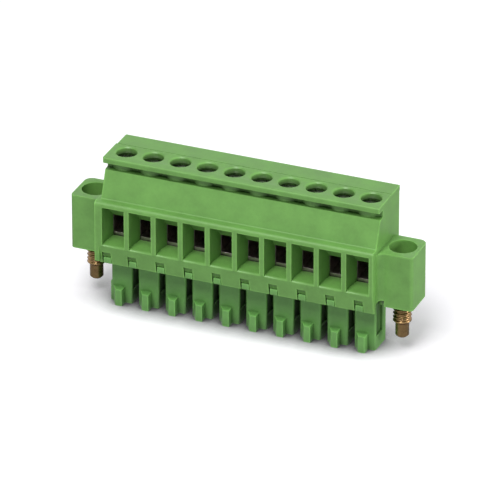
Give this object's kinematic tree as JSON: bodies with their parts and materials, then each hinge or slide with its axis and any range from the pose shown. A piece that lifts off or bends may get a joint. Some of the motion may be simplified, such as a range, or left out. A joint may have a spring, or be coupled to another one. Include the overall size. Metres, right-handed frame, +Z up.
{
  "type": "pluggable terminal block",
  "caption": "Row of screw clamps in a green plug-in housing, with socket fingers below and a captive screw in a flange at each end.",
  "frame": {"origin": "under the middle of the block, on the plane that the finger ends stand on", "axes": "+X along the row of poles, -Y the side where the wires enter, +Z up towards the clamp screws"},
  "size_m": [0.048, 0.0094, 0.0211],
  "materials": {
    "housing": "satin moulded polyamide, green",
    "contact_carrier": "satin moulded polyamide, green",
    "contact": "tinned copper alloy strip",
    "clamp_sleeve": "plated strip, satin",
    "clamp_screw": "zinc plated, slotted",
    "flange_screw": "dull bronze-brown, slotted"
  },
  "bodies": {
    "block": {"housing": "housing", "contact_carrier": "contact_carrier", "contact_1": "contact", "contact_2": "contact", "contact_3": "contact", "contact_4": "contact", "contact_5": "contact", "contact_6": "contact", "contact_7": "contact", "contact_8": "contact", "contact_9": "contact", "contact_10": "contact"},
    "clamp_screw_1": {"clamp_screw_1": "clamp_screw"},
    "clamp_sleeve_1": {"clamp_sleeve_1": "clamp_sleeve"},
    "clamp_screw_2": {"clamp_screw_2": "clamp_screw"},
    "clamp_sleeve_2": {"clamp_sleeve_2": "clamp_sleeve"},
    "clamp_screw_3": {"clamp_screw_3": "clamp_screw"},
    "clamp_sleeve_3": {"clamp_sleeve_3": "clamp_sleeve"},
    "clamp_screw_4": {"clamp_screw_4": "clamp_screw"},
    "clamp_sleeve_4": {"clamp_sleeve_4": "clamp_sleeve"},
    "clamp_screw_5": {"clamp_screw_5": "clamp_screw"},
    "clamp_sleeve_5": {"clamp_sleeve_5": "clamp_sleeve"},
    "clamp_screw_6": {"clamp_screw_6": "clamp_screw"},
    "clamp_sleeve_6": {"clamp_sleeve_6": "clamp_sleeve"},
    "clamp_screw_7": {"clamp_screw_7": "clamp_screw"},
    "clamp_sleeve_7": {"clamp_sleeve_7": "clamp_sleeve"},
    "clamp_screw_8": {"clamp_screw_8": "clamp_screw"},
    "clamp_sleeve_8": {"clamp_sleeve_8": "clamp_sleeve"},
    "clamp_screw_9": {"clamp_screw_9": "clamp_screw"},
    "clamp_sleeve_9": {"clamp_sleeve_9": "clamp_sleeve"},
    "clamp_screw_10": {"clamp_screw_10": "clamp_screw"},
    "clamp_sleeve_10": {"clamp_sleeve_10": "clamp_sleeve"},
    "flange_screw_left": {"flange_screw_left": "flange_screw"},
    "flange_screw_right": {"flange_screw_right": "flange_screw"}
  },
  "joints": [
    {"name": "clamp_turn_1", "type": "hinge", "parent": "block", "child": "clamp_screw_1", "pos_m": [-0.01715, 0, 0.019], "axis": [0, 0, -1], "range_deg": [0, 2340]},
    {"name": "sleeve_lift_1", "type": "slide", "parent": "block", "child": "clamp_sleeve_1", "axis": [0, 0, 1], "range_m": [0, 0.0026]},
    {"name": "clamp_turn_2", "type": "hinge", "parent": "block", "child": "clamp_screw_2", "pos_m": [-0.01333, 0, 0.019], "axis": [0, 0, -1], "range_deg": [0, 2340]},
    {"name": "sleeve_lift_2", "type": "slide", "parent": "block", "child": "clamp_sleeve_2", "axis": [0, 0, 1], "range_m": [0, 0.0026]},
    {"name": "clamp_turn_3", "type": "hinge", "parent": "block", "child": "clamp_screw_3", "pos_m": [-0.00953, 0, 0.019], "axis": [0, 0, -1], "range_deg": [0, 2340]},
    {"name": "sleeve_lift_3", "type": "slide", "parent": "block", "child": "clamp_sleeve_3", "axis": [0, 0, 1], "range_m": [0, 0.0026]},
    {"name": "clamp_turn_4", "type": "hinge", "parent": "block", "child": "clamp_screw_4", "pos_m": [-0.00571, 0, 0.019], "axis": [0, 0, -1], "range_deg": [0, 2340]},
    {"name": "sleeve_lift_4", "type": "slide", "parent": "block", "child": "clamp_sleeve_4", "axis": [0, 0, 1], "range_m": [0, 0.0026]},
    {"name": "clamp_turn_5", "type": "hinge", "parent": "block", "child": "clamp_screw_5", "pos_m": [-0.00191, 0, 0.019], "axis": [0, 0, -1], "range_deg": [0, 2340]},
    {"name": "sleeve_lift_5", "type": "slide", "parent": "block", "child": "clamp_sleeve_5", "axis": [0, 0, 1], "range_m": [0, 0.0026]},
    {"name": "clamp_turn_6", "type": "hinge", "parent": "block", "child": "clamp_screw_6", "pos_m": [0.00191, 0, 0.019], "axis": [0, 0, -1], "range_deg": [0, 2340]},
    {"name": "sleeve_lift_6", "type": "slide", "parent": "block", "child": "clamp_sleeve_6", "axis": [0, 0, 1], "range_m": [0, 0.0026]},
    {"name": "clamp_turn_7", "type": "hinge", "parent": "block", "child": "clamp_screw_7", "pos_m": [0.00571, 0, 0.019], "axis": [0, 0, -1], "range_deg": [0, 2340]},
    {"name": "sleeve_lift_7", "type": "slide", "parent": "block", "child": "clamp_sleeve_7", "axis": [0, 0, 1], "range_m": [0, 0.0026]},
    {"name": "clamp_turn_8", "type": "hinge", "parent": "block", "child": "clamp_screw_8", "pos_m": [0.00953, 0, 0.019], "axis": [0, 0, -1], "range_deg": [0, 2340]},
    {"name": "sleeve_lift_8", "type": "slide", "parent": "block", "child": "clamp_sleeve_8", "axis": [0, 0, 1], "range_m": [0, 0.0026]},
    {"name": "clamp_turn_9", "type": "hinge", "parent": "block", "child": "clamp_screw_9", "pos_m": [0.01333, 0, 0.019], "axis": [0, 0, -1], "range_deg": [0, 2340]},
    {"name": "sleeve_lift_9", "type": "slide", "parent": "block", "child": "clamp_sleeve_9", "axis": [0, 0, 1], "range_m": [0, 0.0026]},
    {"name": "clamp_turn_10", "type": "hinge", "parent": "block", "child": "clamp_screw_10", "pos_m": [0.01715, 0, 0.019], "axis": [0, 0, -1], "range_deg": [0, 2340]},
    {"name": "sleeve_lift_10", "type": "slide", "parent": "block", "child": "clamp_sleeve_10", "axis": [0, 0, 1], "range_m": [0, 0.0026]},
    {"name": "flange_turn_left", "type": "hinge", "parent": "block", "child": "flange_screw_left", "pos_m": [-0.0216, 0, 0.01], "axis": [0, 0, -1], "continuous": true},
    {"name": "flange_turn_right", "type": "hinge", "parent": "block", "child": "flange_screw_right", "pos_m": [0.0216, 0, 0.01], "axis": [0, 0, -1], "continuous": true}
  ],
  "couplings": [
    {"joint": "clamp_turn_1", "follows": "sleeve_lift_1", "rad_per_m": 15708},
    {"joint": "clamp_turn_2", "follows": "sleeve_lift_2", "rad_per_m": 15708},
    {"joint": "clamp_turn_3", "follows": "sleeve_lift_3", "rad_per_m": 15708},
    {"joint": "clamp_turn_4", "follows": "sleeve_lift_4", "rad_per_m": 15708},
    {"joint": "clamp_turn_5", "follows": "sleeve_lift_5", "rad_per_m": 15708},
    {"joint": "clamp_turn_6", "follows": "sleeve_lift_6", "rad_per_m": 15708},
    {"joint": "clamp_turn_7", "follows": "sleeve_lift_7", "rad_per_m": 15708},
    {"joint": "clamp_turn_8", "follows": "sleeve_lift_8", "rad_per_m": 15708},
    {"joint": "clamp_turn_9", "follows": "sleeve_lift_9", "rad_per_m": 15708},
    {"joint": "clamp_turn_10", "follows": "sleeve_lift_10", "rad_per_m": 15708}
  ]
}
